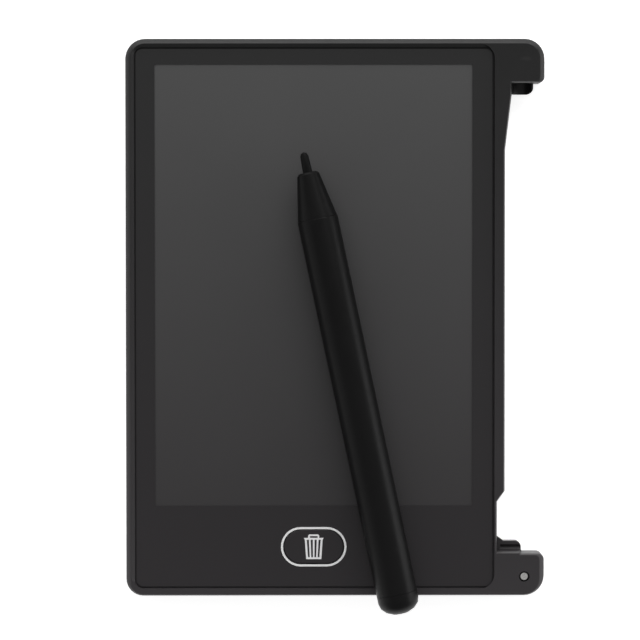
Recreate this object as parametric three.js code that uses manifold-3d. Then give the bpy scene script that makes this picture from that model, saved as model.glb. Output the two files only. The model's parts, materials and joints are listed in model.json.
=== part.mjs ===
import * as THREE from 'three';
import { mergeVertices } from 'three/addons/utils/BufferGeometryUtils.js';
import Module from 'manifold-3d';

// Writing tablet of the 4.4 inch class, lying on its back, with its stylus across the face.
// Millimetres. +X is the right of the face, +Y its top, +Z out of it. The origin is the centre
// of the rear face, under the middle of the overall outline.

const wasm = await Module();
wasm.setup();

// Outline of the housing
const overallWidth = 86.4;
const overallHeight = 115;
const upperCornerRadius = 4.1;
const lowerLeftCornerRadius = 3.5;
const lowerEarCornerRadius = 4.2;
const earInnerCornerRadius = 1.2;
const upperEarReach = 9.05;
const lowerEarReach = 8.7;
const earStepHeight = 0.35;
const earStepWidth = 4.95;
const upperTongueReach = 2.2;
const upperTongueWidth = 4.68;
const lowerTongueReach = 2.25;
const lowerTongueWidth = 5.25;
const tongueCornerRadius = 1.3;
const tongueRampHeight = 1.1;
const flareWidth = 1.35;
const flareLength = 11.3;
const flareTopDrop = 0.35;
const notchDepth = 1.6;
const notchHeight = 7.4;
const notchRampHeight = 2.2;

// Stylus
const stylusDiameter = 8.4;
const stylusLength = 96.8;
const nibTipRadius = 0.85;
const nibBaseRadius = 0.98;
const nibReach = 4.2;
const nibRootRadius = 0.7;
const nibRootLength = 4.5;
const noseLength = 13.9;
const noseFrontRadius = 2.3;
const noseFrontRound = 0.5;
const noseRearRadius = 4.1;
const barrelLeadLength = 0.3;
const barrelWall = 1;
const spigotLength = 5;
const endCapLength = 4.4;
const endCapDome = 2.9;
const stylusSeamGap = 0.05;
const stylusFit = 0.1;
const bayProud = 0.28;
const restGap = 0.2;

// Thickness, from the rear face to the rim
const rearFloor = 1.2;
const boardStandoff = 0.4;
const boardThickness = 1;
const switchBodyHeight = 1.6;
const plungerRise = 0.35;
const keyTravel = 0.3;
const keyOverTravel = 0.15;
const keyFlangeThickness = 0.45;
const flangeClearance = 0.1;
const shelfThickness = 1;
const backingThickness = 0.2;
const filmThickness = 0.55;
const overlayThickness = 0.15;
const rimRise = 0.4;
const printRise = 0.06;

// Walls, rims and edges of the two housing halves
const sideWall = 1.45;
const drawerSideWall = 1.15;
const rimLeftWidth = 1.8;
const rimTopWidth = 1.75;
const rimBottomWidth = 1.6;
const rimRightWidth = 2.3;
const overlayGap = 0.35;
const overlayChannelDepth = 0.35;
const overlayCornerRadius = 1.4;
const frontEdgeWidth = 1;
const innerEdgeWidth = 0.3;
const frontEdgeHeight = 0.85;
const rimSlopeLeft = 0.75;
const rimSlopeTop = 0.7;
const rimSlopeRight = 0.15;
const rimSlopeBottom = 0.15;
const rearEdgeRound = 0.8;
const seamDepth = 0.3;
const seamHeight = 0.25;
const cavityCornerRadius = 2;
const pinRadius = 0.75;
const pinClearance = 0.12;
const pinTipGap = 1;
const pinBossWall = 0.9;
const pinWallGap = 0.9;
const floorRibThickness = 0.8;
const floorRibHeight = 1;

// Writing window and film
const windowLeftBorder = 3.85;
const windowRightBorder = 4.1;
const windowTopBorder = 3.15;
const windowBottomBorder = 16.7;
const windowCornerRadius = 0.5;
const filmMargin = 2;
const filmCornerRadius = 0.8;
const filmClearance = 0.25;
const tailWidth = 6;
const tailThickness = 0.2;
const tailDrop = 1.4;
const tailPadLength = 1.8;
const tailSlotClearance = 0.4;

// Erase key
const keyRise = 8.2;
const keyLength = 12.3;
const keyWidth = 6.9;
const keyClearance = 0.15;
const keyEdgeRound = 0.15;
const keyFlangeMargin = 0.8;
const keyStemRadius = 1.2;
const ringInset = 0.05;
const ringLineWidth = 0.43;

// Circuit board and what it carries
const boardBelowKey = 7.3;
const boardAboveKey = 9.2;
const boardCornerRadius = 0.8;
const boardGap = 0.6;
const leafNotchClearance = 0.5;
const partSpacing = 3;
const partMargin = 1.6;
const smallPartPitch = 3.4;
const postRadius = 1.5;
const postPinRadius = 0.55;
const postPinRise = 0.5;
const postClearance = 0.12;
const switchSize = 6;
const switchCornerRadius = 0.5;
const switchBoreRadius = 1.8;
const switchBoreFloor = 0.4;
const plungerRadius = 1.65;
const chipRadius = 3;
const chipHeight = 1.1;
const inductorRadius = 1.9;
const inductorWaistRadius = 1.35;
const inductorHeight = 1.9;
const inductorFlange = 0.4;
const chipPartLength = 2;
const chipPartWidth = 1.25;
const chipPartHeight = 0.8;

// Coin cell, its drawer and its contacts
const cellDiameter = 20;
const cellThickness = 1.6;
const cellStepRadius = 8.9;
const cellStepHeight = 0.3;
const cellEdgeRound = 0.25;
const cellClearance = 0.15;
const slideGap = 0.2;
const drawerLift = 0.3;
const drawerFloor = 0.8;
const drawerWall = 1.1;
const drawerWallDrop = 0.15;
const drawerBackRadius = 6;
const drawerFaceThickness = 1.4;
const drawerFaceGap = 0.12;
const floorSlotWidth = 5;
const guideRibThickness = 1.1;
const guideRibDrop = 0.5;
const lugThickness = 1;
const lugDepth = 6;
const lugLift = 1.1;
const lugEndWall = 1.7;
const nailRecessLength = 8;
const nailRecessDepth = 0.55;
const nailRecessHeight = 1.2;
const contactThickness = 0.2;
const contactWidth = 2.4;
const contactGap = 0.1;
const contactCrest = 0.35;
const contactReach = 5;
const partingCover = 0.5;

// Screw of the battery drawer
const screwFromRight = 4.08;
const screwFromBottom = 3.95;
const screwHeadRadius = 0.87;
const screwHeadHeight = 0.75;
const screwCrownShare = 0.86;
const screwSideShare = 0.7;
const screwShankRadius = 0.55;
const screwClearance = 0.12;
const screwRecessWidth = 0.26;
const screwRecessLength = 1.1;
const screwRecessDepth = 0.35;
const screwFloor = 0.7;
const counterboreRadius = 1.1;
const counterboreDepth = 1.35;

// Socket of the upper ear and channel of the lower tongue
const socketMouthRadius = 1.95;
const socketEndRadius = 0.95;
const socketDepth = 4.2;
const channelRadius = 0.6;
const channelInset = 0.9;
const lowerTongueDrop = 1;

// Where the stylus lies: its rear end past the bottom edge, and its heading
const stylusOverhang = 3.2;
const stylusEndShare = 0.6565;
const stylusHeading = THREE.MathUtils.degToRad(11.94);

// Drawn fineness
const arcDivisions = 4;
const roundSteps = 4;
const roundSides = 32;
const smallSides = 20;
const overrun = 1;
const weldTolerance = 1e-5;

// Levels above the rear face
const floorTop = rearFloor;
const boardBottom = floorTop + boardStandoff;
const boardTop = boardBottom + boardThickness;
const switchTop = boardTop + switchBodyHeight;
const plungerTop = switchTop + plungerRise;
const drawerBottom = floorTop + drawerLift;
const cellBottom = drawerBottom + drawerFloor;
const cellTop = cellBottom + cellThickness;
const partingLevel = cellTop + partingCover;
const leafTop = cellTop + contactGap + contactThickness + contactCrest;
const keyStackTop = switchTop + keyTravel + keyOverTravel + keyFlangeThickness + flangeClearance;
const shelfBottom = Math.max(keyStackTop, leafTop + contactGap, partingLevel + partingCover);
const keyFlangeTop = shelfBottom - flangeClearance;
const keyFlangeBottom = keyFlangeTop - keyFlangeThickness;
const shelfTop = shelfBottom + shelfThickness;
const filmBottomLevel = shelfTop + backingThickness;
const overlayBottomLevel = filmBottomLevel + filmThickness;
const overlayTopLevel = overlayBottomLevel + overlayThickness;
const rimTop = overlayTopLevel + rimRise;
const socketLevel = rimTop / 2;

// Edges of the outline
const left = -overallWidth / 2;
const right = overallWidth / 2;
const bottom = -overallHeight / 2;
const top = overallHeight / 2;
const bodyRight = right - stylusDiameter + bayProud;
const flareRight = bodyRight + flareWidth;
const notchRight = bodyRight - notchDepth;
const upperEarBottom = top - upperEarReach;
const lowerEarTop = bottom + lowerEarReach;
const upperTongueBottom = upperEarBottom - upperTongueReach;
const upperTongueRight = flareRight + upperTongueWidth;
const lowerTongueTop = lowerEarTop + lowerTongueReach;
const lowerTongueRight = notchRight + lowerTongueWidth;
const notchBottom = lowerTongueTop + tongueRampHeight;
const notchTop = notchBottom + notchHeight;
const notchRampTop = notchTop + notchRampHeight;
const flareTop = upperTongueBottom - flareTopDrop;
const flareBottom = flareTop - flareLength;
const earStepRight = notchRight + earStepWidth;

// Edges of the well, the overlay, the window and the film, each [left, bottom, right, top]
const well = [left + rimLeftWidth, bottom + rimBottomWidth, bodyRight - rimRightWidth, top - rimTopWidth];
const overlay = shrink(well, overlayGap);
const writingWindow = [
  overlay[0] + windowLeftBorder,
  overlay[1] + windowBottomBorder,
  overlay[2] - windowRightBorder,
  overlay[3] - windowTopBorder,
];
const film = shrink(writingWindow, -filmMargin);
const filmRecess = shrink(film, -filmClearance);
const cavity = [left + sideWall, bottom + sideWall, notchRight - drawerSideWall, top - sideWall];

// The key sits under the middle of the window
const keyX = (writingWindow[0] + writingWindow[2]) / 2;
const keyY = overlay[1] + keyRise;

// The drawer runs along the right wall of the cavity
const drawerRight = cavity[2] - slideGap;
const drawerWidth = cellDiameter + 2 * (cellClearance + drawerWall);
const drawerLeft = drawerRight - drawerWidth;
const cellX = (drawerLeft + drawerRight) / 2;
const cellY = bottom + drawerFaceThickness + cellClearance + cellDiameter / 2;
const drawerBack = cellY + cellDiameter / 2 + cellClearance + drawerWall;
const drawerWallTop = cellTop - drawerWallDrop;
const guideRibRight = drawerLeft - slideGap;
const guideRibLeft = guideRibRight - guideRibThickness;
const boardRight = guideRibLeft - boardGap;
const chipX = keyX - switchSize / 2 - partSpacing - chipRadius;
const inductorX = chipX - chipRadius - partSpacing - inductorRadius;
const boardLeft = inductorX - inductorRadius - partSpacing;
const boardBottomEdge = keyY - boardBelowKey;
const boardTopEdge = keyY + boardAboveKey;
const smallPartY = boardBottomEdge + partMargin;
const lugBottom = floorTop + lugLift;
const lugTop = lugBottom + lugThickness;
const lugRight = right - lugEndWall;
const screwX = right - screwFromRight;
const screwY = bottom + screwFromBottom;
const tailX = chipX - chipRadius - tailWidth / 2;
const leafY = keyY + (switchSize + contactWidth) / 2 + leafNotchClearance;
const socketX = (flareRight + upperTongueRight) / 2;

// Finishes
const finish = (color, roughness, metalness = 0) =>
  new THREE.MeshStandardMaterial({ color, roughness, metalness });
const housingBlack = finish(0x1c1c1d, 0.55);
const overlayBlack = finish(0x151516, 0.3);
const filmGrey = finish(0x34363a, 0.22);
const printWhite = finish(0xf2f2f2, 0.5);
const keyBlack = finish(0x141415, 0.35);
const stylusBlack = finish(0x101011, 0.3);
const nibBlack = finish(0x0c0c0d, 0.45);
const screwSteel = finish(0xb9bbbd, 0.35, 1);
const contactNickel = finish(0xc7c4b8, 0.3, 1);
const cellSteel = finish(0xcfd1d2, 0.28, 1);
const boardGreen = finish(0x1f5a36, 0.5);
const chipBlack = finish(0x0a0a0b, 0.35);
const ferriteGrey = finish(0x3b3d40, 0.6);
const ceramicTan = finish(0xb08a5a, 0.5);
const foamGrey = finish(0x4a4b4d, 0.9);
const flexAmber = finish(0xb5762a, 0.35);

// Plan outlines

function shrink([x0, y0, x1, y1], by) {
  return [x0 + by, y0 + by, x1 - by, y1 - by];
}

// Outline through corners [x, y, radius], each rounded by an arc where it has a radius
function outline(corners) {
  const shape = new THREE.Shape();
  corners.forEach(([x, y, radius = 0], index) => {
    if (radius > 0) {
      addRoundCorner(shape, corners, index);
    } else if (index === 0) {
      shape.moveTo(x, y);
    } else {
      shape.lineTo(x, y);
    }
  });
  return withoutRepeats(shape.getPoints(arcDivisions));
}

function addRoundCorner(shape, corners, index) {
  const [x, y, radius] = corners[index];
  const corner = new THREE.Vector2(x, y);
  const [beforeX, beforeY] = corners[(index + corners.length - 1) % corners.length];
  const [afterX, afterY] = corners[(index + 1) % corners.length];
  const toBefore = new THREE.Vector2(beforeX, beforeY).sub(corner).normalize();
  const toAfter = new THREE.Vector2(afterX, afterY).sub(corner).normalize();
  const halfAngle = Math.acos(toBefore.dot(toAfter)) / 2;
  const reach = radius / Math.tan(halfAngle);
  const start = corner.clone().addScaledVector(toBefore, reach);
  const end = corner.clone().addScaledVector(toAfter, reach);
  const middle = toBefore.clone().add(toAfter).normalize();
  const centre = corner.clone().addScaledVector(middle, radius / Math.sin(halfAngle));
  const startAngle = Math.atan2(start.y - centre.y, start.x - centre.x);
  const endAngle = Math.atan2(end.y - centre.y, end.x - centre.x);
  const clockwise = toAfter.cross(toBefore) < 0;
  if (index === 0) {
    shape.moveTo(start.x, start.y);
  } else {
    shape.lineTo(start.x, start.y);
  }
  shape.absarc(centre.x, centre.y, radius, startAngle, endAngle, clockwise);
}

function withoutRepeats(points) {
  return points.filter((point, index) => {
    const next = points[(index + 1) % points.length];
    return point.distanceTo(next) > weldTolerance;
  });
}

function rectangle([x0, y0, x1, y1], radius = 0) {
  return outline([[x0, y0, radius], [x1, y0, radius], [x1, y1, radius], [x0, y1, radius]]);
}

// A rectangle around a centre
function plate(x, y, width, height, radius = 0) {
  return rectangle([x - width / 2, y - height / 2, x + width / 2, y + height / 2], radius);
}

// A slot with round ends
function stadium(x, y, length, width) {
  const shape = new THREE.Shape();
  const straight = (length - width) / 2;
  shape.absarc(x + straight, y, width / 2, -Math.PI / 2, Math.PI / 2, false);
  shape.absarc(x - straight, y, width / 2, Math.PI / 2, 3 * Math.PI / 2, false);
  return withoutRepeats(shape.getPoints(2 * arcDivisions));
}

// Moves each point of an outline inward, square to its two edges
function inset(points, by) {
  return points.map((point, index) => {
    const before = points[(index + points.length - 1) % points.length];
    const after = points[(index + 1) % points.length];
    const normalBefore = inwardNormal(before, point);
    const normalAfter = inwardNormal(point, after);
    const spread = by / (1 + normalBefore.dot(normalAfter));
    return point.clone().addScaledVector(normalBefore.add(normalAfter), spread);
  });
}

function inwardNormal(from, to) {
  const along = to.clone().sub(from).normalize();
  return new THREE.Vector2(-along.y, along.x);
}

// Solids

function toSolid(geometry) {
  const bare = new THREE.BufferGeometry();
  bare.setAttribute('position', geometry.getAttribute('position'));
  bare.setIndex(geometry.index);
  const welded = mergeVertices(bare, weldTolerance);
  const vertProperties = Float32Array.from(welded.getAttribute('position').array);
  const corners = welded.index.array;
  const kept = [];
  for (let i = 0; i < corners.length; i += 3) {
    const [a, b, c] = [corners[i], corners[i + 1], corners[i + 2]];
    if (a !== b && b !== c && c !== a) {
      kept.push(a, b, c);
    }
  }
  if (signedVolume(vertProperties, kept) < 0) {
    kept.reverse();
  }
  const triVerts = Uint32Array.from(kept);
  return new wasm.Manifold(new wasm.Mesh({ numProp: 3, vertProperties, triVerts }));
}

function signedVolume(vertices, corners) {
  const [a, b, c] = [new THREE.Vector3(), new THREE.Vector3(), new THREE.Vector3()];
  let sum = 0;
  for (let i = 0; i < corners.length; i += 3) {
    a.fromArray(vertices, 3 * corners[i]);
    b.fromArray(vertices, 3 * corners[i + 1]);
    c.fromArray(vertices, 3 * corners[i + 2]);
    sum += a.dot(b.cross(c));
  }
  return sum / 6;
}

// A skin through outlines of as many points each: each layer is [outline, level], from the lowest up
function skin(layers) {
  const rings = layers.map(([points, level]) => points.map(({ x, y }) => [x, y, level]));
  const count = rings[0].length;
  const index = [];
  for (let ring = 0; ring + 1 < rings.length; ring += 1) {
    for (let i = 0; i < count; i += 1) {
      const [a, b] = [ring * count + i, ring * count + (i + 1) % count];
      index.push(a, b, b + count, a, b + count, a + count);
    }
  }
  const lastRing = (rings.length - 1) * count;
  for (const [a, b, c] of capFaces(rings[0])) {
    index.push(a, c, b);
  }
  for (const [a, b, c] of capFaces(rings.at(-1))) {
    index.push(lastRing + a, lastRing + b, lastRing + c);
  }
  const geometry = new THREE.BufferGeometry();
  geometry.setAttribute('position', new THREE.Float32BufferAttribute(rings.flat(2), 3));
  geometry.setIndex(index);
  return toSolid(geometry);
}

function capFaces(ring) {
  return THREE.ShapeUtils.triangulateShape(ring.map(([x, y]) => new THREE.Vector2(x, y)), []);
}

// The same through copies of one outline: each layer is [inset, level]
function loft(points, layers) {
  return skin(layers.map(([by, level]) => [inset(points, by), level]));
}

function prism(points, low, high) {
  return loft(points, [[0, low], [0, high]]);
}

// Layers of a quarter-round edge that ends at a level, inset by width over height
function roundedEdge(width, height, level) {
  return Array.from({ length: roundSteps + 1 }, (_, step) => {
    const angle = (step / roundSteps) * Math.PI / 2;
    return [width * (1 - Math.cos(angle)), level - height + height * Math.sin(angle)];
  });
}

// The same edge turned down, starting at a level
function roundedFoot(width, height, level) {
  return roundedEdge(width, height, 0).reverse().map(([by, drop]) => [by, level - drop]);
}

function rod(x, y, radius, low, high, sides = smallSides) {
  const geometry = new THREE.CylinderGeometry(radius, radius, high - low, sides);
  geometry.rotateX(Math.PI / 2);
  geometry.translate(x, y, (low + high) / 2);
  return toSolid(geometry);
}

// A turned body around +Y, through [radius, place] points
function turned(profile, sides = roundSides) {
  return new THREE.LatheGeometry(profile.map(([r, y]) => new THREE.Vector2(r, y)), sides);
}

// The same around +Z, standing at a place of the face
function turnedUp(profile, x, y, sides = roundSides) {
  const geometry = turned(profile, sides);
  geometry.rotateX(Math.PI / 2);
  geometry.translate(x, y, 0);
  return toSolid(geometry);
}

// A bent strip of sheet along a centre line of [distance, level] points
function strip(centreLine, thickness, width) {
  const line = centreLine.map(([u, v]) => new THREE.Vector2(u, v));
  const sides = line.map((point, index) => {
    const before = inwardNormal(line[Math.max(index - 1, 0)], line[Math.max(index, 1)]);
    const last = line.length - 1;
    const after = inwardNormal(line[Math.min(index, last - 1)], line[Math.min(index + 1, last)]);
    const spread = thickness / 2 / (1 + before.dot(after));
    const offset = before.add(after).multiplyScalar(spread);
    return [point.clone().sub(offset), point.clone().add(offset)];
  });
  const near = sides.map(([first]) => first);
  const far = sides.map(([, second]) => second).reverse();
  const shape = new THREE.Shape([...near, ...far]);
  const geometry = new THREE.ExtrudeGeometry(shape, { depth: width, bevelEnabled: false });
  geometry.translate(0, 0, -width / 2);
  geometry.rotateX(Math.PI / 2);
  return geometry;
}

function joined(first, ...others) {
  return others.reduce((whole, piece) => whole.add(piece), first);
}

function cut(whole, ...cutters) {
  return cutters.reduce((rest, cutter) => rest.subtract(cutter), whole);
}

function addPart(parent, name, material, solid) {
  const { vertProperties, triVerts } = solid.getMesh();
  const geometry = new THREE.BufferGeometry();
  geometry.setAttribute('position', new THREE.BufferAttribute(vertProperties, 3));
  geometry.setIndex(new THREE.BufferAttribute(triVerts, 1));
  geometry.computeVertexNormals();
  const mesh = new THREE.Mesh(geometry, material);
  mesh.name = name;
  parent.add(mesh);
}

// Housing

const rightSide = [
  [notchRight, notchTop],
  [bodyRight, notchRampTop],
  [bodyRight, flareBottom],
  [flareRight, flareTop],
];

// The front edge is bevelled widely at the left, the top and the ends of the ears, and narrowly
// elsewhere: the share is how far over the edge the outline has come
function frontOutline(share) {
  const wide = share * frontEdgeWidth;
  const narrow = share * innerEdgeWidth;
  return outline([
    [left + wide, bottom + narrow, lowerLeftCornerRadius - wide],
    [right - wide, bottom + narrow, lowerEarCornerRadius - wide],
    [right - wide, lowerEarTop - narrow, earInnerCornerRadius - narrow],
    [earStepRight - narrow, lowerEarTop - narrow],
    [earStepRight - narrow, lowerEarTop + earStepHeight - narrow],
    [notchRight - narrow, lowerEarTop + earStepHeight - narrow],
    ...rightSide.map(([x, y]) => [x - narrow, y]),
    [flareRight - narrow, upperEarBottom + narrow],
    [right - wide, upperEarBottom + narrow, earInnerCornerRadius - narrow],
    [right - wide, top - wide, upperCornerRadius - wide],
    [left + wide, top - wide, upperCornerRadius - wide],
  ]);
}

// The well of the overlay opens out upward, most at the left and the top: the share is how far
// up the slope the outline has come
function wellOutline(share) {
  const [x0, y0, x1, y1] = well;
  const footRadius = overlayCornerRadius + overlayGap;
  return rectangle([
    x0 - share * rimSlopeLeft,
    y0 - share * rimSlopeBottom,
    x1 + share * rimSlopeRight,
    y1 + share * rimSlopeTop,
  ], THREE.MathUtils.lerp(footRadius, upperCornerRadius - frontEdgeWidth, share));
}

function rearOutline() {
  return outline([
    [left, bottom, lowerLeftCornerRadius],
    [right, bottom, lowerEarCornerRadius],
    [right, lowerEarTop, earInnerCornerRadius],
    [lowerTongueRight, lowerEarTop],
    [lowerTongueRight, lowerTongueTop, tongueCornerRadius],
    [bodyRight, lowerTongueTop],
    [notchRight, notchBottom],
    ...rightSide,
    [flareRight, upperTongueBottom],
    [upperTongueRight, upperTongueBottom, tongueCornerRadius],
    [upperTongueRight, upperEarBottom],
    [right, upperEarBottom, earInnerCornerRadius],
    [right, top, upperCornerRadius],
    [left, top, upperCornerRadius],
  ]);
}

// Places of the six pins that join the halves, just inside the walls of the cavity
const pinRowShares = [0, 0.5, 1];
function pinPlaces() {
  const inward = pinRadius + pinClearance + pinBossWall + pinWallGap;
  const [x0, y0, x1, y1] = shrink(cavity, inward);
  const rows = pinRowShares.map((share) => THREE.MathUtils.lerp(y0, y1, share));
  const places = [x0, x1].flatMap((x) => rows.map((y) => [x, y]));
  return places.filter(([x, y]) => x < drawerLeft || y > drawerBack + inward);
}

// Socket that takes the point of the stored stylus: a straight mouth, then a cone
function socketCutter() {
  const geometry = turned([
    [0, upperTongueBottom - overrun],
    [socketMouthRadius, upperTongueBottom - overrun],
    [socketMouthRadius, upperEarBottom],
    [socketEndRadius, upperEarBottom + socketDepth],
    [0, upperEarBottom + socketDepth],
  ]);
  geometry.translate(socketX, 0, socketLevel);
  return toSolid(geometry);
}

function keyOpening(low, high) {
  return prism(stadium(keyX, keyY, keyLength + 2 * keyClearance, keyWidth + 2 * keyClearance), low, high);
}

// The bevel of the front edge and its soft corners, as shares of its width and height
const frontEdgeShares = [
  [0, 0],
  [0.05, 0.16],
  [0.88, 0.94],
  [1, 1],
];

function makeFrontHousing() {
  const edgeFoot = rimTop - frontEdgeHeight;
  const frontEdge = frontEdgeShares.map(([over, up]) => [frontOutline(over), edgeFoot + up * frontEdgeHeight]);
  const blank = skin([[frontOutline(0), partingLevel], ...frontEdge]);
  const wellCutter = skin([
    [wellOutline(0), overlayBottomLevel],
    [wellOutline(0), overlayTopLevel],
    [wellOutline(1), rimTop],
    [wellOutline(1), rimTop + overrun],
  ]);
  const channelLow = overlayBottomLevel - overlayChannelDepth;
  const channelCutter = cut(
    prism(wellOutline(0), channelLow, overlayTopLevel),
    prism(rectangle(overlay, overlayCornerRadius), channelLow - overrun, rimTop),
  );
  const filmCutter = prism(rectangle(filmRecess, filmCornerRadius), shelfTop, rimTop);
  const cavityCutter = prism(rectangle(cavity, cavityCornerRadius), partingLevel - overrun, shelfBottom);
  const tailSlot = prism(rectangle([
    tailX - tailWidth / 2 - tailSlotClearance,
    film[1] - tailDrop - tailSlotClearance,
    tailX + tailWidth / 2 + tailSlotClearance,
    film[1],
  ]), partingLevel, rimTop);
  const counterbore = rod(screwX, screwY, counterboreRadius, rimTop - counterboreDepth, rimTop + overrun);
  const screwHole = rod(screwX, screwY, screwShankRadius + screwClearance, partingLevel - overrun, rimTop);
  const pinRoot = shelfTop - shelfThickness / 2;
  const pins = pinPlaces().map(([x, y]) => rod(x, y, pinRadius, floorTop + pinTipGap, pinRoot));
  const hollow = cut(
    blank,
    wellCutter,
    channelCutter,
    filmCutter,
    cavityCutter,
    tailSlot,
    keyOpening(partingLevel, rimTop),
    counterbore,
    screwHole,
    socketCutter(),
  );
  return joined(hollow, ...pins);
}

function makeRearCover() {
  const blank = loft(rearOutline(), [
    ...roundedFoot(rearEdgeRound, rearEdgeRound, 0),
    [0, partingLevel - seamHeight],
    [seamDepth, partingLevel - seamHeight],
    [seamDepth, partingLevel],
  ]);
  const cavityCutter = prism(rectangle(cavity, cavityCornerRadius), floorTop, partingLevel + overrun);
  const upperTongueCutter = prism(rectangle([
    flareRight,
    upperTongueBottom - overrun,
    upperTongueRight + overrun,
    upperEarBottom,
  ]), socketLevel, partingLevel + overrun);
  const lowerTongueLevel = partingLevel - lowerTongueDrop;
  const lowerTongueCutter = prism(rectangle([
    notchRight,
    lowerEarTop + earStepHeight,
    lowerTongueRight + overrun,
    notchBottom + overrun,
  ]), lowerTongueLevel, partingLevel + overrun);
  const channel = turned([
    [0, notchRight + channelInset],
    [channelRadius, notchRight + channelInset],
    [channelRadius, lowerTongueRight + overrun],
    [0, lowerTongueRight + overrun],
  ], smallSides);
  channel.rotateZ(-Math.PI / 2);
  channel.translate(0, lowerEarTop + earStepHeight + channelRadius, lowerTongueLevel);
  const drawerOpening = prism(rectangle([
    drawerLeft - slideGap,
    bottom - overrun,
    drawerRight + slideGap,
    cavity[1] + cavityCornerRadius,
  ]), floorTop, partingLevel + overrun);
  const lugSlot = prism(rectangle([
    drawerRight,
    bottom - overrun,
    lugRight + slideGap,
    bottom + lugDepth + slideGap,
  ]), lugBottom - drawerFaceGap, lugTop + drawerFaceGap);
  const holeRadius = screwShankRadius + screwClearance;
  const screwHole = rod(screwX, screwY, holeRadius, screwFloor, partingLevel + overrun);
  const shell = cut(
    blank,
    cavityCutter,
    upperTongueCutter,
    lowerTongueCutter,
    toSolid(channel),
    drawerOpening,
    lugSlot,
    screwHole,
    socketCutter(),
  );
  const root = floorTop - rearFloor / 2;
  const guideRib = cut(
    prism(
      rectangle([guideRibLeft, cavity[1] - sideWall / 2, guideRibRight, drawerBack]),
      root,
      partingLevel - guideRibDrop,
    ),
    prism(
      plate(guideRibLeft, leafY, 3 * guideRibThickness, contactWidth + 2 * leafNotchClearance),
      floorTop,
      boardTop,
    ),
  );
  const boreRadius = pinRadius + pinClearance;
  const bosses = pinPlaces().map(([x, y]) => rod(x, y, boreRadius + pinBossWall, root, partingLevel));
  const pinHoles = pinPlaces().map(([x, y]) =>
    rod(x, y, boreRadius, floorTop + pinTipGap / 2, partingLevel + overrun));
  const posts = boardPostPlaces().map(([x, y]) => joined(
    rod(x, y, postRadius, root, boardBottom),
    rod(x, y, postPinRadius, floorTop, boardTop + postPinRise),
  ));
  return cut(joined(shell, guideRib, ...floorRibs(root), ...bosses, ...posts), ...pinHoles);
}

// Stiffening ribs across the floor, between the board and the top wall
const ribColumnShares = [0.2, 0.5, 0.8];
const ribRowShares = [0.08, 0.36, 0.64, 0.92];
function floorRibs(low) {
  const [x0, x1] = [cavity[0] - sideWall / 2, cavity[2] + drawerSideWall / 2];
  const [y0, y1] = [drawerBack + partSpacing, cavity[3] + sideWall / 2];
  const high = floorTop + floorRibHeight;
  const columns = ribColumnShares.map((share) => THREE.MathUtils.lerp(x0, x1, share));
  const rows = ribRowShares.map((share) => THREE.MathUtils.lerp(y0, y1, share));
  const half = floorRibThickness / 2;
  return [
    ...columns.map((x) => prism(rectangle([x - half, y0, x + half, y1]), low, high)),
    ...rows.map((y) => prism(rectangle([x0, y - half, x1, y + half]), low, high)),
  ];
}

// Film stack

function makeOverlay() {
  const [low, high] = [overlayBottomLevel - overrun, overlayTopLevel + overrun];
  return cut(
    prism(rectangle(overlay, overlayCornerRadius), overlayBottomLevel, overlayTopLevel),
    prism(rectangle(writingWindow, windowCornerRadius), low, high),
    keyOpening(low, high),
  );
}

function makeFilmSheet(low, high) {
  return prism(rectangle(film, filmCornerRadius), low, high);
}

function makeContactTail() {
  const level = filmBottomLevel + filmThickness / 2;
  const bend = tailDrop / 2;
  const landing = boardTop + tailThickness / 2;
  const geometry = strip([
    [film[1], level],
    [film[1] - bend, level],
    [film[1] - tailDrop, level - bend],
    [film[1] - tailDrop, landing + bend],
    [film[1] - tailDrop - bend, landing],
    [film[1] - tailDrop - bend - tailPadLength, landing],
  ], tailThickness, tailWidth);
  geometry.rotateZ(Math.PI / 2);
  geometry.translate(tailX, 0, 0);
  return toSolid(geometry);
}

// Erase key

function makeEraseKey() {
  const cap = loft(stadium(keyX, keyY, keyLength, keyWidth), [
    [0, keyFlangeBottom],
    ...roundedEdge(keyEdgeRound, keyEdgeRound, overlayTopLevel),
  ]);
  const flangeLength = keyLength + 2 * keyFlangeMargin;
  const flangeWidth = keyWidth + 2 * keyFlangeMargin;
  const flange = prism(stadium(keyX, keyY, flangeLength, flangeWidth), keyFlangeBottom, keyFlangeTop);
  const stem = rod(keyX, keyY, keyStemRadius, plungerTop, keyFlangeTop);
  return joined(cap, flange, stem);
}

function makeKeyRing() {
  const innerLength = keyLength + 2 * (keyClearance + ringInset);
  const innerWidth = keyWidth + 2 * (keyClearance + ringInset);
  const outerLength = innerLength + 2 * ringLineWidth;
  const outerWidth = innerWidth + 2 * ringLineWidth;
  return cut(
    prism(stadium(keyX, keyY, outerLength, outerWidth), overlayTopLevel, overlayTopLevel + printRise),
    prism(stadium(keyX, keyY, innerLength, innerWidth), overlayTopLevel - overrun, overlayTopLevel + overrun),
  );
}

// Electronics

// Posts hold the board at its four corners
function boardPostPlaces() {
  const [x0, y0, x1, y1] = shrink([boardLeft, boardBottomEdge, boardRight, boardTopEdge], partMargin);
  return [[x0, y0], [x1, y0], [x1, y1], [x0, y1]];
}

function makeBoard() {
  const sheetPoints = rectangle([boardLeft, boardBottomEdge, boardRight, boardTopEdge], boardCornerRadius);
  const holes = boardPostPlaces().map(([x, y]) =>
    rod(x, y, postPinRadius + postClearance, boardBottom - overrun, boardTop + overrun));
  return cut(prism(sheetPoints, boardBottom, boardTop), ...holes);
}

function makeSwitchBody() {
  return cut(
    prism(plate(keyX, keyY, switchSize, switchSize, switchCornerRadius), boardTop, switchTop),
    rod(keyX, keyY, switchBoreRadius, boardTop + switchBoreFloor, switchTop + overrun),
  );
}

function makePlunger() {
  return rod(keyX, keyY, plungerRadius, boardTop + switchBoreFloor + keyTravel + keyOverTravel, plungerTop);
}

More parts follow.
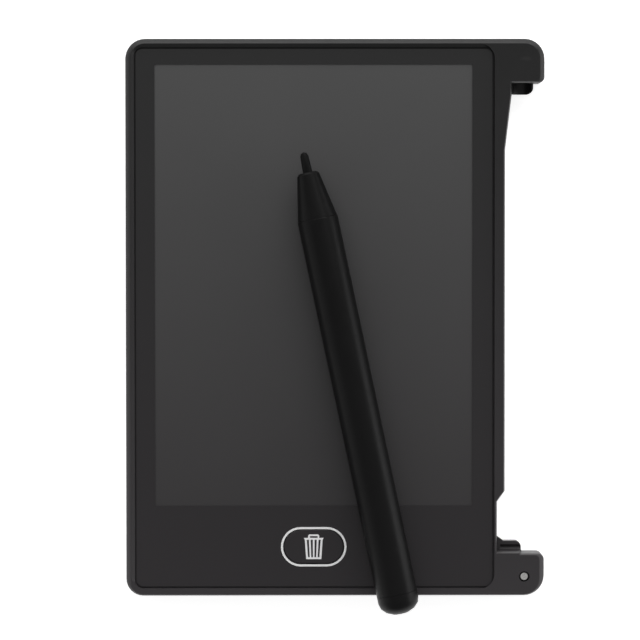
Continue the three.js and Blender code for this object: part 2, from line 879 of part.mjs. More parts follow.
function makeControllerChip() {
  const dome = roundedEdge(chipRadius, chipHeight, boardTop + chipHeight);
  const profile = dome.map(([by, level]) => [chipRadius - by, level]);
  return turnedUp([[0, boardTop], ...profile], chipX, keyY, smallSides);
}

function makeInductor() {
  return turnedUp([
    [0, boardTop],
    [inductorRadius, boardTop],
    [inductorRadius, boardTop + inductorFlange],
    [inductorWaistRadius, boardTop + inductorFlange],
    [inductorWaistRadius, boardTop + inductorHeight - inductorFlange],
    [inductorRadius, boardTop + inductorHeight - inductorFlange],
    [inductorRadius, boardTop + inductorHeight],
    [0, boardTop + inductorHeight],
  ], inductorX, keyY, smallSides);
}

// Small parts stand in a row along the lower edge of the board, counted from the chip
function makeSmallPart(order) {
  const x = chipX + order * smallPartPitch;
  return prism(plate(x, smallPartY, chipPartLength, chipPartWidth), boardTop, boardTop + chipPartHeight);
}

// Battery drawer

function makeCoinCell() {
  const radius = cellDiameter / 2;
  return turnedUp([
    [0, cellBottom],
    [cellStepRadius, cellBottom],
    [cellStepRadius, cellBottom + cellStepHeight],
    [radius - cellEdgeRound, cellBottom + cellStepHeight],
    [radius, cellBottom + cellStepHeight + cellEdgeRound],
    [radius, cellTop - cellEdgeRound],
    [radius - cellEdgeRound, cellTop],
    [0, cellTop],
  ], cellX, cellY, 2 * roundSides);
}

function makeBatteryDrawer() {
  const trayPoints = outline([
    [drawerLeft, bottom],
    [drawerRight, bottom],
    [drawerRight, drawerBack, drawerBackRadius],
    [drawerLeft, drawerBack, drawerBackRadius],
  ]);
  const face = prism(
    rectangle([drawerLeft, bottom, drawerRight, bottom + drawerFaceThickness]),
    floorTop + drawerFaceGap,
    partingLevel - drawerFaceGap,
  );
  const lug = prism(
    rectangle([drawerRight - drawerWall, bottom, lugRight, bottom + lugDepth]),
    lugBottom,
    lugTop,
  ).intersect(prism(rearOutline(), lugBottom, lugTop));
  const notchHalf = screwShankRadius + 2 * screwClearance;
  const notchPoints = rectangle([screwX - notchHalf, screwY, screwX + notchHalf, screwY + lugDepth]);
  const notch = joined(
    rod(screwX, screwY, notchHalf, lugBottom - overrun, lugTop + overrun),
    prism(notchPoints, lugBottom - overrun, lugTop + overrun),
  );
  const pocketRadius = cellDiameter / 2 + cellClearance;
  const pocket = rod(cellX, cellY, pocketRadius, cellBottom, cellTop + overrun, 2 * roundSides);
  const floorSlot = prism(rectangle([
    cellX - floorSlotWidth / 2,
    cellY - contactWidth,
    cellX + floorSlotWidth / 2,
    drawerBack + overrun,
  ]), drawerBottom - overrun, partingLevel);
  const recessRadius = (nailRecessLength ** 2 / 4 + nailRecessDepth ** 2) / (2 * nailRecessDepth);
  const recessLow = (floorTop + partingLevel - nailRecessHeight) / 2;
  const nailRecess = rod(
    cellX,
    bottom + nailRecessDepth - recessRadius,
    recessRadius,
    recessLow,
    recessLow + nailRecessHeight,
    3 * roundSides,
  );
  return cut(
    joined(prism(trayPoints, drawerBottom, drawerWallTop), face, lug),
    pocket,
    floorSlot,
    notch,
    nailRecess,
  );
}

function makePositiveContact() {
  const rest = cellTop + contactGap + contactThickness / 2;
  const crest = rest + contactCrest;
  const foot = boardTop + contactThickness / 2;
  const geometry = strip([
    [boardRight - contactWidth, foot],
    [boardRight - contactThickness, foot],
    [boardRight + boardGap / 2, crest],
    [drawerLeft + drawerWall, crest],
    [drawerLeft + contactReach, rest],
    [drawerLeft + contactReach + contactWidth / 2, rest],
    [drawerLeft + contactReach + contactWidth, rest + contactGap],
  ], contactThickness, contactWidth);
  geometry.translate(0, leafY, 0);
  return toSolid(geometry);
}

function makeNegativeContact() {
  const foot = boardBottom - contactThickness / 2;
  const low = floorTop + contactThickness / 2;
  const crest = cellBottom - contactGap - contactThickness / 2;
  const geometry = strip([
    [boardRight - contactWidth, foot],
    [boardRight - contactThickness, foot],
    [boardRight + contactThickness, low],
    [cellX - floorSlotWidth / 2 + contactThickness, low],
    [cellX - contactThickness, crest],
    [cellX + contactThickness, crest],
    [cellX + floorSlotWidth / 2 - 2 * contactThickness, low + 2 * contactThickness],
  ], contactThickness, contactWidth);
  geometry.translate(0, leafY, 0);
  return toSolid(geometry);
}

// Pan-head screw with a cross recess, in the counterbore of the lower ear
function makeScrew() {
  const seat = rimTop - counterboreDepth;
  const head = turnedUp([
    [0, screwFloor + screwClearance],
    [screwShankRadius, screwFloor + screwClearance + screwShankRadius / 2],
    [screwShankRadius, seat],
    [screwHeadRadius, seat],
    [screwHeadRadius, seat + screwHeadHeight * screwSideShare],
    [screwHeadRadius * screwCrownShare, seat + screwHeadHeight],
    [0, seat + screwHeadHeight],
  ], screwX, screwY, smallSides);
  const recessLow = seat + screwHeadHeight - screwRecessDepth;
  return cut(
    head,
    prism(plate(screwX, screwY, screwRecessLength, screwRecessWidth), recessLow, rimTop),
    prism(plate(screwX, screwY, screwRecessWidth, screwRecessLength), recessLow, rimTop),
  );
}

// Stylus, with its point at the origin and its barrel along -Y

function makeNib() {
  return toSolid(turned([
    [0, 0],
    [nibTipRadius * Math.SQRT1_2, -nibTipRadius * (1 - Math.SQRT1_2)],
    [nibTipRadius, -nibTipRadius],
    [nibBaseRadius, -nibReach],
    [nibRootRadius, -nibReach],
    [nibRootRadius, -nibReach - nibRootLength],
    [0, -nibReach - nibRootLength],
  ], smallSides));
}

const stylusRadius = stylusDiameter / 2;
const barrelBoreRadius = stylusRadius - barrelWall;
const spigotRadius = barrelBoreRadius - stylusFit;
const nibBoreRadius = nibRootRadius + stylusFit;

function makeNoseCone() {
  return toSolid(turned([
    [nibBoreRadius, -nibReach - stylusSeamGap],
    [noseFrontRadius - noseFrontRound, -nibReach - stylusSeamGap],
    [noseFrontRadius, -nibReach - noseFrontRound],
    [noseRearRadius, -noseLength + stylusSeamGap],
    [spigotRadius, -noseLength + stylusSeamGap],
    [spigotRadius, -noseLength - spigotLength],
    [0, -noseLength - spigotLength],
    [0, -nibReach - nibRootLength - stylusFit],
    [nibBoreRadius, -nibReach - nibRootLength - stylusFit],
    [nibBoreRadius, -nibReach - stylusSeamGap],
  ]));
}

function makeBarrel() {
  const rear = -stylusLength + endCapLength;
  return toSolid(turned([
    [noseRearRadius, -noseLength],
    [stylusRadius, -noseLength - barrelLeadLength],
    [stylusRadius, rear],
    [barrelBoreRadius, rear],
    [barrelBoreRadius, -noseLength],
    [noseRearRadius, -noseLength],
  ]));
}

function makeEndCap() {
  const front = -stylusLength + endCapLength - stylusSeamGap;
  const dome = roundedEdge(stylusRadius, endCapDome, stylusLength);
  return toSolid(turned([
    [0, front + spigotLength],
    [spigotRadius, front + spigotLength],
    [spigotRadius, front],
    [stylusRadius, front],
    ...dome.map(([by, place]) => [stylusRadius - by, -place]),
  ]));
}

// The stylus rests with its barrel on the bottom rim and the front of its barrel on the film
function placeStylus() {
  const endX = THREE.MathUtils.lerp(left, right, stylusEndShare);
  const tipX = endX - stylusLength * Math.sin(stylusHeading);
  const tipY = bottom - stylusOverhang + stylusLength * Math.cos(stylusHeading);
  const frontRest = noseLength + barrelLeadLength;
  const rimRest = (tipY - bottom - innerEdgeWidth) / Math.cos(stylusHeading);
  const filmTopLevel = filmBottomLevel + filmThickness;
  const pitch = Math.asin((rimTop - filmTopLevel) / (rimRest - frontRest));
  const tipLevel = filmTopLevel + restGap + stylusRadius / Math.cos(pitch) - frontRest * Math.tan(pitch);
  const heading = new THREE.Group();
  heading.position.set(tipX, tipY, tipLevel);
  heading.rotation.z = stylusHeading;
  const lean = new THREE.Group();
  lean.rotation.x = -pitch;
  heading.add(lean);
  return { heading, lean };
}

const group = new THREE.Group();

addPart(group, 'rear_cover', housingBlack, makeRearCover());
addPart(group, 'front_housing', housingBlack, makeFrontHousing());
addPart(group, 'film_backing', foamGrey, makeFilmSheet(shelfTop, filmBottomLevel));
addPart(group, 'lcd_film', filmGrey, makeFilmSheet(filmBottomLevel, overlayBottomLevel));
addPart(group, 'film_contact_tail', flexAmber, makeContactTail());
addPart(group, 'overlay_frame', overlayBlack, makeOverlay());
addPart(group, 'key_ring', printWhite, makeKeyRing());
addPart(group, 'erase_key', keyBlack, makeEraseKey());
addPart(group, 'circuit_board', boardGreen, makeBoard());
addPart(group, 'tact_switch_body', chipBlack, makeSwitchBody());
addPart(group, 'switch_plunger', ferriteGrey, makePlunger());
addPart(group, 'controller_chip', chipBlack, makeControllerChip());
addPart(group, 'boost_inductor', ferriteGrey, makeInductor());
['capacitor_1', 'capacitor_2', 'resistor_1'].forEach((name, order) => {
  addPart(group, name, ceramicTan, makeSmallPart(order));
});
addPart(group, 'battery_contact_positive', contactNickel, makePositiveContact());
addPart(group, 'battery_contact_negative', contactNickel, makeNegativeContact());
addPart(group, 'coin_cell', cellSteel, makeCoinCell());
addPart(group, 'battery_drawer', housingBlack, makeBatteryDrawer());
addPart(group, 'drawer_screw', screwSteel, makeScrew());

const { heading, lean } = placeStylus();
group.add(heading);
addPart(lean, 'stylus_nib', nibBlack, makeNib());
addPart(lean, 'stylus_nose_cone', stylusBlack, makeNoseCone());
addPart(lean, 'stylus_barrel', stylusBlack, makeBarrel());
addPart(lean, 'stylus_end_cap', stylusBlack, makeEndCap());

export default group;
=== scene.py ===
import json
import math

import bpy
from mathutils import Euler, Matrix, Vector


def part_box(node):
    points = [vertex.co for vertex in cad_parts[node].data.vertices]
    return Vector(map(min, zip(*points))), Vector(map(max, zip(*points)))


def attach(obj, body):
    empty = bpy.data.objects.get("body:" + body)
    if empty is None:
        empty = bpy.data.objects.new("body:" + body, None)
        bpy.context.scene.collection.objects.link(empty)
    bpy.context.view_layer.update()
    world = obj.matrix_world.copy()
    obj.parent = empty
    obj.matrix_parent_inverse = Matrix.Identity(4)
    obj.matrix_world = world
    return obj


# Writing tablet of the 4.4 inch class, lying on its back, with its stylus across the face.
# Metres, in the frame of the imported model: +X is the right of the face, +Y its top, +Z out of it.

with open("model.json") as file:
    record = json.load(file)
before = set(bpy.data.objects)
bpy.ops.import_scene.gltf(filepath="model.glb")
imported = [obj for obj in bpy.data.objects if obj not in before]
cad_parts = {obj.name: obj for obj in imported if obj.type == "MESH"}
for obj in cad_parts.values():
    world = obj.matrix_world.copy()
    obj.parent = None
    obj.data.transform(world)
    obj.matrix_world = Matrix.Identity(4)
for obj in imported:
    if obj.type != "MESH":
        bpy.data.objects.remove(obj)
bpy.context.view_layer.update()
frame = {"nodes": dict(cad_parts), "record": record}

MM = 0.001

# Camera
CAMERA_PLACE = (-6.13 * MM, 15.69 * MM, 600 * MM)
CAMERA_TURN_DEG = (-1.558, -0.293, -0.033)
CAMERA_LENS = 161.66
SENSOR_WIDTH = 36
CLIP_START = 10 * MM

# Floor
FLOOR_REACH = 3.0
FLOOR_DROP = 0.02 * MM
FLOOR_COLOR = (0.8, 0.8, 0.8)
FLOOR_ROUGHNESS = 0.9
FLOOR_GLOW = 0.75

# Sky: its strength at the horizon and below, the heights between which it fades, and above them
HORIZON_LIGHT = 1.0
HORIZON_REACH = (0.0, 0.08)
SKY_LIGHT = 0.36

# Lamps: name, place, size across and along, radiance
LIGHT_TARGET = (0.0, 0.0, 0.005)
LIGHTS = [
    ("light_top", (0.0, 0.9, 0.5), (1.6, 0.9), 2.65),
    ("light_right", (0.9, 0.0, 0.28), (0.8, 0.3), 1.7),
    ("light_right_low", (0.9, 0.0, 0.13), (0.9, 0.14), 2.35),
    ("light_left", (-0.8, 0.0, 0.3), (1.4, 0.5), 0.45),
]

# Linear colours. The large faces change evenly from their foot to their top, which is painted light
# and
# shade: the film is lighter at its top, and the housing, overlay, key and stylus are lighter at their
# foot.
PAINTED_LIGHT_REACH = 57.5 * MM
HOUSING_FOOT_COLOR = (0.0396, 0.0364, 0.0388)
HOUSING_TOP_COLOR = (0.0124, 0.0124, 0.0124)
OVERLAY_FOOT_COLOR = (0.0282, 0.0255, 0.0275)
OVERLAY_TOP_COLOR = (0.0212, 0.0212, 0.0212)
FILM_FOOT_COLOR = (0.0310, 0.0286, 0.0301)
FILM_TOP_COLOR = (0.0702, 0.0702, 0.0704)
STYLUS_FOOT_COLOR = (0.0074, 0.0072, 0.0074)
STYLUS_TOP_COLOR = (0.0015, 0.0015, 0.0015)
NIB_COLOR = (0.0045, 0.0045, 0.0046)
PRINT_COLOR = (0.92, 0.92, 0.92)
STEEL_COLOR = (0.88, 0.87, 0.85)
NICKEL_COLOR = (0.72, 0.7, 0.64)
CELL_COLOR = (0.55, 0.56, 0.56)
BOARD_COLOR = (0.02, 0.12, 0.05)
EPOXY_COLOR = (0.02, 0.02, 0.022)
CERAMIC_COLOR = (0.43, 0.28, 0.13)
FOAM_COLOR = (0.07, 0.07, 0.075)
FLEX_COLOR = (0.45, 0.2, 0.03)

# Moulded plastics: colours at the foot and the top, roughness, specular level, grain size and depth
MOULDED_FINISHES = {
    "housing": (HOUSING_FOOT_COLOR, HOUSING_TOP_COLOR, 0.4, 0.3, 0.28 * MM, 0.02 * MM),
    "stylus": (STYLUS_FOOT_COLOR, STYLUS_TOP_COLOR, 0.36, 0.12, 0.5 * MM, 0.004 * MM),
    "stylus_tip": (NIB_COLOR, NIB_COLOR, 0.42, 0.08, 0.3 * MM, 0.006 * MM),
}
GRAIN_STRENGTH = 0.5
FLOW_MARK_SIZE = 9 * MM
FLOW_MARK_CHANGE = 0.03
MOULD_GLOSS_SIZE = 2.4 * MM
MOULD_GLOSS_CHANGE = 0.03

# Coated sheets: colours at the foot and the top, roughness, specular level
SHEET_FINISHES = {
    "overlay": (OVERLAY_FOOT_COLOR, OVERLAY_TOP_COLOR, 0.31, 0.3),
    "writing_film": (FILM_FOOT_COLOR, FILM_TOP_COLOR, 0.42, 0.38),
    "key_cap": (OVERLAY_FOOT_COLOR, OVERLAY_TOP_COLOR, 0.31, 0.3),
    "flex": (FLEX_COLOR, FLEX_COLOR, 0.35, 0.5),
}
SHEET_TINT_SIZE = 16 * MM
SHEET_TINT_CHANGE = 0.015
SHEET_GLOSS_SIZE = 7 * MM
SHEET_GLOSS_CHANGE = 0.01

# Plated metals: colour, roughness, width of the brushing
PLATED_FINISHES = {
    "screw_steel": (STEEL_COLOR, 0.32, 0.05 * MM),
    "contact_metal": (NICKEL_COLOR, 0.38, 0.08 * MM),
    "cell_steel": (CELL_COLOR, 0.46, 0.12 * MM),
}
PLATING_TINT_SIZE = 1.5 * MM
PLATING_TINT_CHANGE = 0.06
BRUSHING_STRETCH = (0.08, 1, 1)
BRUSHING_GLOSS_CHANGE = 0.08
BRUSHING_STRENGTH = 0.15
BRUSHING_DEPTH = 0.01 * MM

# Mottled surfaces: colour, roughness, size of the patches, change of the colour, depth of the relief
MOTTLED_FINISHES = {
    "print_white": (PRINT_COLOR, 0.5, 0.3 * MM, 0.02, 0.004 * MM),
    "board": (BOARD_COLOR, 0.45, 0.8 * MM, 0.1, 0.01 * MM),
    "component": (EPOXY_COLOR, 0.4, 0.3 * MM, 0.12, 0.01 * MM),
    "ceramic": (CERAMIC_COLOR, 0.5, 0.25 * MM, 0.1, 0.01 * MM),
    "backing_foam": (FOAM_COLOR, 0.9, 0.4 * MM, 0.15, 0.03 * MM),
}
MOTTLE_GLOSS_CHANGE = 0.05
MOTTLE_RELIEF_STRENGTH = 0.4

# Noise: its usual span, and its detail in colour and in relief
NOISE_LOW = 0.3
NOISE_HIGH = 0.7
TINT_DETAIL = 2
RELIEF_DETAIL = 3

# Painted sheen over the socket in the upper ear, a lighter oval: its middle, its half width and
# height, the share by which it is lighter, and where its edge starts and ends as shares of its half
# size
PAINTED_SHEEN_PLACE = (39.4 * MM, 53.4 * MM)
PAINTED_SHEEN_HALF = (1.1 * MM, 0.42 * MM)
PAINTED_SHEEN_LIFT = 0.55
PAINTED_SHEEN_EDGE = (0.4, 1.4)

# Shading of the solids. A level face has a normal that is upright to within LEVEL_NORMAL, and
# an edge is mixed where the mean of its faces' level, 0 or 1, is nearer a half than 0 or 1.
WELD_DISTANCE = 0.001 * MM
SMOOTH_ANGLE_DEG = 32
LEVEL_NORMAL = 0.99995
LEVEL_ANGLE_DEG = 2
MIXED_LEVEL = 0.5
MIXED_MARGIN = 0.25

# Bin pictogram on the erase key
ICON_THICKNESS = 0.04 * MM
ICON_HEIGHT = 5.13 * MM
HANDLE_HALF = 1.16 * MM
HANDLE_RISE = 0.72 * MM
HANDLE_WALL = 0.36 * MM
HANDLE_CHAMFER = 0.25 * MM
LID_HALF = 2.06 * MM
LID_HEIGHT = 0.4 * MM
CAN_TOP_HALF = 1.84 * MM
CAN_FOOT_HALF = 1.57 * MM
CAN_WALL = 0.4 * MM
BAR_WIDTH = 0.38 * MM
BAR_COUNT = 3


# Node graphs


def math_node(tree, operation, *values):
    """Output of a maths node. Each value is a socket or a number."""
    node = tree.nodes.new("ShaderNodeMath")
    node.operation = operation
    for socket, value in zip(node.inputs, values):
        feed(tree, socket, value)
    return node.outputs[0]


def feed(tree, socket, value):
    if isinstance(value, bpy.types.NodeSocket):
        tree.links.new(value, socket)
    else:
        socket.default_value = value


class Graph:
    """A material's node tree, with short calls that add nodes and join them."""

    def __init__(self, name, color, roughness, metallic=0.0, specular=0.5):
        self.material = bpy.data.materials.new(name)
        self.material.use_nodes = True
        self.tree = self.material.node_tree
        self.shader = self.tree.nodes["Principled BSDF"]
        self.place = self.add("ShaderNodeTexCoord").outputs["Object"]
        self.base = (*color, 1)
        self.roughness = roughness
        self.shader.inputs["Base Color"].default_value = self.base
        self.shader.inputs["Roughness"].default_value = roughness
        self.shader.inputs["Metallic"].default_value = metallic
        self.shader.inputs["Specular IOR Level"].default_value = specular

    def add(self, kind, **values):
        node = self.tree.nodes.new(kind)
        for name, value in values.items():
            self.feed(node.inputs[name.replace("_", " ")], value)
        return node

    def feed(self, socket, value):
        feed(self.tree, socket, value)

    def noise(self, size, detail=TINT_DETAIL, place=None):
        """Noise from 0 to 1 whose patches are about size across."""
        node = self.add("ShaderNodeTexNoise", Scale=1 / size, Detail=detail)
        self.feed(node.inputs["Vector"], place or self.place)
        return node.outputs["Fac"]

    def stretched(self, stretch):
        """The place, squeezed along each axis, for brushing."""
        return self.add("ShaderNodeMapping", Vector=self.place, Scale=stretch).outputs["Vector"]

    def span(self, value, low, high, start=NOISE_LOW, end=NOISE_HIGH):
        """The value, carried from the span start to end over to the span low to high."""
        node = self.add("ShaderNodeMapRange", Value=value)
        self.feed(node.inputs["From Min"], start)
        self.feed(node.inputs["From Max"], end)
        self.feed(node.inputs["To Min"], low)
        self.feed(node.inputs["To Max"], high)
        return node.outputs["Result"]

    def mix(self, factor, first, second):
        node = self.tree.nodes.new("ShaderNodeMix")
        node.data_type = "RGBA"
        self.feed(node.inputs[0], factor)
        self.feed(node.inputs[6], first)
        self.feed(node.inputs[7], second)
        return node.outputs[2]

    def fade(self, top_color):
        """Painted light and shade: base colour that changes evenly along Y, from the plain colour to
        the top colour.
        """
        split = self.add("ShaderNodeSeparateXYZ", Vector=self.place)
        height = self.span(split.outputs["Y"], 0, 1, -PAINTED_LIGHT_REACH, PAINTED_LIGHT_REACH)
        self.base = self.mix(height, self.base, (*top_color, 1))

    def scale(self, factor):
        """Base colour times the factor."""
        node = self.tree.nodes.new("ShaderNodeVectorMath")
        node.operation = "SCALE"
        base = self.base if isinstance(self.base, bpy.types.NodeSocket) else self.base[:3]
        self.feed(node.inputs[0], base)
        self.feed(node.inputs["Scale"], factor)
        self.base = node.outputs[0]
        self.feed(self.shader.inputs["Base Color"], self.base)

    def tint(self, noise, change):
        """Base colour that varies with the noise, by the share change either way."""
        self.scale(self.span(noise, 1 - change, 1 + change))

    def paint_sheen(self, middle, half, lift, edge):
        """Painted sheen: base colour that is lighter by the share lift in one soft oval of the face.
        """
        grow = (1 / half[0], 1 / half[1], 0)
        shift = (-middle[0] / half[0], -middle[1] / half[1], 0)
        oval = self.add("ShaderNodeMapping", Vector=self.place, Scale=grow, Location=shift)
        reach = self.tree.nodes.new("ShaderNodeVectorMath")
        reach.operation = "LENGTH"
        self.feed(reach.inputs[0], oval.outputs["Vector"])
        self.scale(self.span(reach.outputs["Value"], 1 + lift, 1, *edge))

    def vary_roughness(self, noise, change):
        """Roughness that varies with the noise, by the change either way."""
        rough = self.span(noise, self.roughness - change, self.roughness + change)
        self.feed(self.shader.inputs["Roughness"], rough)

    def relief(self, height, strength, depth):
        """Bump from the height."""
        node = self.add("ShaderNodeBump", Height=height, Strength=strength, Distance=depth)
        self.feed(self.shader.inputs["Normal"], node.outputs["Normal"])


# Materials


def moulded_plastic(name, color, top_color, roughness, specular, grain_size, grain_depth):
    """Satin moulded plastic with an even fine grain and faint flow marks, and painted light and shade
    from foot to top.
    """
    graph = Graph(name, color, roughness, specular=specular)
    graph.fade(top_color)
    if name == "housing":
        # Painted sheen: a lighter oval over the socket in the upper ear
        graph.paint_sheen(PAINTED_SHEEN_PLACE, PAINTED_SHEEN_HALF, PAINTED_SHEEN_LIFT, PAINTED_SHEEN_EDGE)
    graph.tint(graph.noise(FLOW_MARK_SIZE), FLOW_MARK_CHANGE)
    graph.vary_roughness(graph.noise(MOULD_GLOSS_SIZE), MOULD_GLOSS_CHANGE)
    graph.relief(graph.noise(grain_size, RELIEF_DETAIL), GRAIN_STRENGTH, grain_depth)
    return graph.material


def gloss_sheet(name, color, top_color, roughness, specular):
    """Hard-coated plastic sheet: flat, with a very faint unevenness of its gloss, and painted light
    and shade from foot to top.
    """
    graph = Graph(name, color, roughness, specular=specular)
    graph.fade(top_color)
    graph.tint(graph.noise(SHEET_TINT_SIZE), SHEET_TINT_CHANGE)
    graph.vary_roughness(graph.noise(SHEET_GLOSS_SIZE), SHEET_GLOSS_CHANGE)
    return graph.material


def plated_metal(name, color, roughness, streak):
    """Plated metal with fine brushing along X."""
    graph = Graph(name, color, roughness, metallic=1)
    graph.tint(graph.noise(PLATING_TINT_SIZE), PLATING_TINT_CHANGE)
    brushed = graph.noise(streak, TINT_DETAIL, graph.stretched(BRUSHING_STRETCH))
    graph.vary_roughness(brushed, BRUSHING_GLOSS_CHANGE)
    graph.relief(brushed, BRUSHING_STRENGTH, BRUSHING_DEPTH)
    return graph.material


def mottled(name, color, roughness, patch, change, depth):
    """Print, board, epoxy, ceramic or foam: a mottled surface with a small relief."""
    graph = Graph(name, color, roughness)
    graph.tint(graph.noise(patch), change)
    graph.vary_roughness(graph.noise(2 * patch), MOTTLE_GLOSS_CHANGE)
    graph.relief(graph.noise(patch / 2, RELIEF_DETAIL), MOTTLE_RELIEF_STRENGTH, depth)
    return graph.material


finish_tables = [
    (moulded_plastic, MOULDED_FINISHES),
    (gloss_sheet, SHEET_FINISHES),
    (plated_metal, PLATED_FINISHES),
    (mottled, MOTTLED_FINISHES),
]
materials = {}
for make_material, finishes in finish_tables:
    for name, values in finishes.items():
        materials[name] = make_material(name, *values)

node_slots = {row["node"]: row["material_slot"] for row in frame["record"]["subparts"]}
for name, obj in frame["nodes"].items():
    obj.data.materials.clear()
    obj.data.materials.append(materials[node_slots[name]])


# Shading: corners are welded, and only edges sharper than the angle stay sharp


def crisp_shading(keep_levels_flat):
    """Shading by angle. Level faces, if kept flat, also stay sharp against the slopes beside them."""
    tree = bpy.data.node_groups.new("crisp_shading", "GeometryNodeTree")
    tree.interface.new_socket("Geometry", in_out="INPUT", socket_type="NodeSocketGeometry")
    tree.interface.new_socket("Geometry", in_out="OUTPUT", socket_type="NodeSocketGeometry")
    nodes = tree.nodes
    entry = nodes.new("NodeGroupInput")
    weld = nodes.new("GeometryNodeMergeByDistance")
    weld.inputs["Distance"].default_value = WELD_DISTANCE
    strip = nodes.new("GeometryNodeRemoveAttribute")
    strip.inputs["Name"].default_value = "custom_normal"
    smooth = nodes.new("GeometryNodeSetShadeSmooth")
    smooth.domain = "FACE"
    crease = nodes.new("GeometryNodeSetShadeSmooth")
    crease.domain = "EDGE"
    crease.inputs["Shade Smooth"].default_value = False
    leave = nodes.new("NodeGroupOutput")
    chain = [entry, weld, strip, smooth, crease, leave]
    for before, after in zip(chain, chain[1:]):
        tree.links.new(before.outputs[0], after.inputs[0])
    angle = nodes.new("GeometryNodeInputMeshEdgeAngle").outputs["Unsigned Angle"]
    chosen = math_node(tree, "GREATER_THAN", angle, math.radians(SMOOTH_ANGLE_DEG))
    if keep_levels_flat:
        chosen = math_node(tree, "MAXIMUM", chosen, level_edges(tree, angle))
    tree.links.new(chosen, crease.inputs["Selection"])
    return tree


def level_edges(tree, angle):
    """Edges between one level face and one sloping face."""
    normal = tree.nodes.new("GeometryNodeInputNormal")
    split = tree.nodes.new("ShaderNodeSeparateXYZ")
    tree.links.new(normal.outputs[0], split.inputs[0])
    upright = math_node(tree, "ABSOLUTE", split.outputs["Z"])
    level = math_node(tree, "GREATER_THAN", upright, LEVEL_NORMAL)
    on_face = tree.nodes.new("GeometryNodeFieldOnDomain")
    on_face.domain = "FACE"
    tree.links.new(level, on_face.inputs[0])
    mixed = math_node(tree, "COMPARE", on_face.outputs[0], MIXED_LEVEL, MIXED_MARGIN)
    turned = math_node(tree, "GREATER_THAN", angle, math.radians(LEVEL_ANGLE_DEG))
    return math_node(tree, "MULTIPLY", mixed, turned)


round_shading = crisp_shading(False)
flat_shading = crisp_shading(True)
for name, obj in frame["nodes"].items():
    modifier = obj.modifiers.new("crisp_shading", "NODES")
    modifier.node_group = round_shading if name.startswith("stylus") else flat_shading


# Bin pictogram on the key


def icon_outlines():
    """The outline of the bin, then its holes, as points round the middle of the key."""
    top = ICON_HEIGHT / 2
    lid_top = top - HANDLE_RISE
    lid_foot = lid_top - LID_HEIGHT
    foot = -top
    half = [
        (HANDLE_HALF - HANDLE_CHAMFER, top),
        (HANDLE_HALF, top - HANDLE_CHAMFER),
        (HANDLE_HALF, lid_top),
        (LID_HALF, lid_top),
        (CAN_TOP_HALF, lid_foot),
        (CAN_FOOT_HALF, foot),
    ]
    outer = half + [(-x, y) for x, y in reversed(half)]
    hole_half = HANDLE_HALF - HANDLE_WALL
    hole_top = top - HANDLE_WALL
    handle_hole = [
        (-hole_half, lid_top),
        (hole_half, lid_top),
        (hole_half, hole_top),
        (-hole_half, hole_top),
    ]
    high = lid_foot
    low = foot + CAN_WALL
    edge = CAN_TOP_HALF - CAN_WALL
    taper = (CAN_FOOT_HALF - CAN_WALL) / edge
    gap = (2 * edge - BAR_COUNT * BAR_WIDTH) / (BAR_COUNT + 1)
    inner = BAR_WIDTH / 2
    middle = inner + gap
    outside = middle + BAR_WIDTH
    gaps = []
    for start, end in ((inner, middle), (outside, edge)):
        low_start = start * taper
        low_end = end * taper
        gaps.append([(start, high), (low_start, low), (low_end, low), (end, high)])
        gaps.append([(-start, high), (-low_start, low), (-low_end, low), (-end, high)])
    return [outer, handle_hole, *gaps]


def printed_shape(name, outlines, middle, level, thickness):
    """A thin print of the outlines, standing on the level."""
    curve = bpy.data.curves.new(name, "CURVE")
    curve.dimensions = "2D"
    curve.fill_mode = "BOTH"
    curve.extrude = thickness / 2
    for points in outlines:
        spline = curve.splines.new("POLY")
        spline.points.add(len(points) - 1)
        for point, (x, y) in zip(spline.points, points):
            point.co = (x, y, 0, 1)
        spline.use_cyclic_u = True
    drawn = bpy.data.objects.new(name + "_curve", curve)
    bpy.context.scene.collection.objects.link(drawn)
    bpy.context.view_layer.update()
    mesh = bpy.data.meshes.new_from_object(drawn.evaluated_get(bpy.context.evaluated_depsgraph_get()))
    bpy.data.objects.remove(drawn)
    bpy.data.curves.remove(curve)
    mesh.name = name
    obj = bpy.data.objects.new(name, mesh)
    obj.location = (*middle, level + thickness / 2)
    bpy.context.scene.collection.objects.link(obj)
    return obj


key_low, key_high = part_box("erase_key")
key_middle = ((key_low.x + key_high.x) / 2, (key_low.y + key_high.y) / 2)
icon = printed_shape("bin_pictogram", icon_outlines(), key_middle, key_high.z, ICON_THICKNESS)
icon.data.materials.append(materials["print_white"])
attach(icon, "key")


# Floor, sky, lamps and camera


def make_floor():
    """Pale floor that looks white, holds the object's shadow and can't be seen from below."""
    low = -FLOOR_REACH
    high = FLOOR_REACH
    corners = [(low, low), (high, low), (high, high), (low, high)]
    mesh = bpy.data.meshes.new("floor")
    mesh.from_pydata([(x, y, -FLOOR_DROP) for x, y in corners], [], [(0, 1, 2, 3)])
    mesh.materials.append(floor_material())
    floor = bpy.data.objects.new("floor", mesh)
    bpy.context.scene.collection.objects.link(floor)


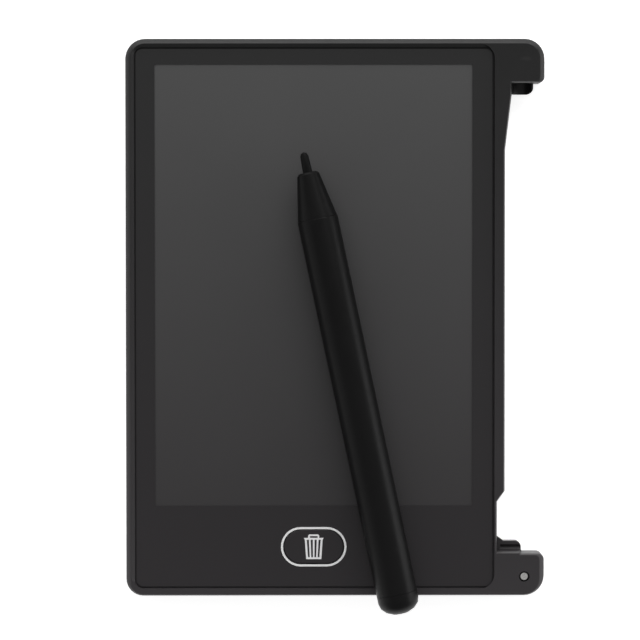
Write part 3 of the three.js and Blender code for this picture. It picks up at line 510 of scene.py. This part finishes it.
def floor_material():
    material = bpy.data.materials.new("floor")
    material.use_nodes = True
    tree = material.node_tree
    nodes = tree.nodes
    shader = nodes["Principled BSDF"]
    shader.inputs["Base Color"].default_value = (*FLOOR_COLOR, 1)
    shader.inputs["Roughness"].default_value = FLOOR_ROUGHNESS
    shader.inputs["Specular IOR Level"].default_value = 0
    shader.inputs["Emission Color"].default_value = (1, 1, 1, 1)
    rays = nodes.new("ShaderNodeLightPath")
    seen = math_node(tree, "MAXIMUM", rays.outputs["Is Camera Ray"], rays.outputs["Is Glossy Ray"])
    seen = math_node(tree, "MAXIMUM", seen, rays.outputs["Is Transmission Ray"])
    glow = math_node(tree, "MULTIPLY", seen, FLOOR_GLOW)
    tree.links.new(glow, shader.inputs["Emission Strength"])
    clear = nodes.new("ShaderNodeBsdfTransparent")
    side = nodes.new("ShaderNodeNewGeometry")
    mix = nodes.new("ShaderNodeMixShader")
    tree.links.new(side.outputs["Backfacing"], mix.inputs[0])
    tree.links.new(shader.outputs[0], mix.inputs[1])
    tree.links.new(clear.outputs[0], mix.inputs[2])
    tree.links.new(mix.outputs[0], nodes["Material Output"].inputs["Surface"])
    return material


def make_world():
    world = bpy.data.worlds.new("studio")
    world.use_nodes = True
    tree = world.node_tree
    nodes = tree.nodes
    background = nodes["Background"]
    place = nodes.new("ShaderNodeTexCoord")
    split = nodes.new("ShaderNodeSeparateXYZ")
    height = nodes.new("ShaderNodeMapRange")
    height.interpolation_type = "SMOOTHSTEP"
    height.inputs["From Min"].default_value = HORIZON_REACH[0]
    height.inputs["From Max"].default_value = HORIZON_REACH[1]
    height.inputs["To Min"].default_value = HORIZON_LIGHT
    height.inputs["To Max"].default_value = SKY_LIGHT
    tree.links.new(place.outputs["Generated"], split.inputs[0])
    tree.links.new(split.outputs["Z"], height.inputs["Value"])
    tree.links.new(height.outputs["Result"], background.inputs["Strength"])
    background.inputs["Color"].default_value = (1, 1, 1, 1)
    bpy.context.scene.world = world


def make_light(name, place, size, radiance):
    """Soft rectangular lamp that faces the target and isn't seen by the camera."""
    light = bpy.data.lights.new(name, "AREA")
    light.shape = "RECTANGLE"
    light.size, light.size_y = size
    light.energy = radiance * math.pi * size[0] * size[1]
    obj = bpy.data.objects.new(name, light)
    obj.location = place
    aim = Vector(LIGHT_TARGET) - Vector(place)
    obj.rotation_euler = aim.to_track_quat("-Z", "Y").to_euler()
    obj.visible_camera = False
    bpy.context.scene.collection.objects.link(obj)


def make_camera():
    camera = bpy.data.cameras.new("camera")
    camera.lens = CAMERA_LENS
    camera.sensor_width = SENSOR_WIDTH
    camera.clip_start = CLIP_START
    obj = bpy.data.objects.new("camera", camera)
    obj.location = CAMERA_PLACE
    obj.rotation_euler = Euler([math.radians(turn) for turn in CAMERA_TURN_DEG])
    bpy.context.scene.collection.objects.link(obj)
    bpy.context.scene.camera = obj


make_floor()
make_world()
for row in LIGHTS:
    make_light(*row)
make_camera()
bpy.context.scene.view_settings.view_transform = "Standard"
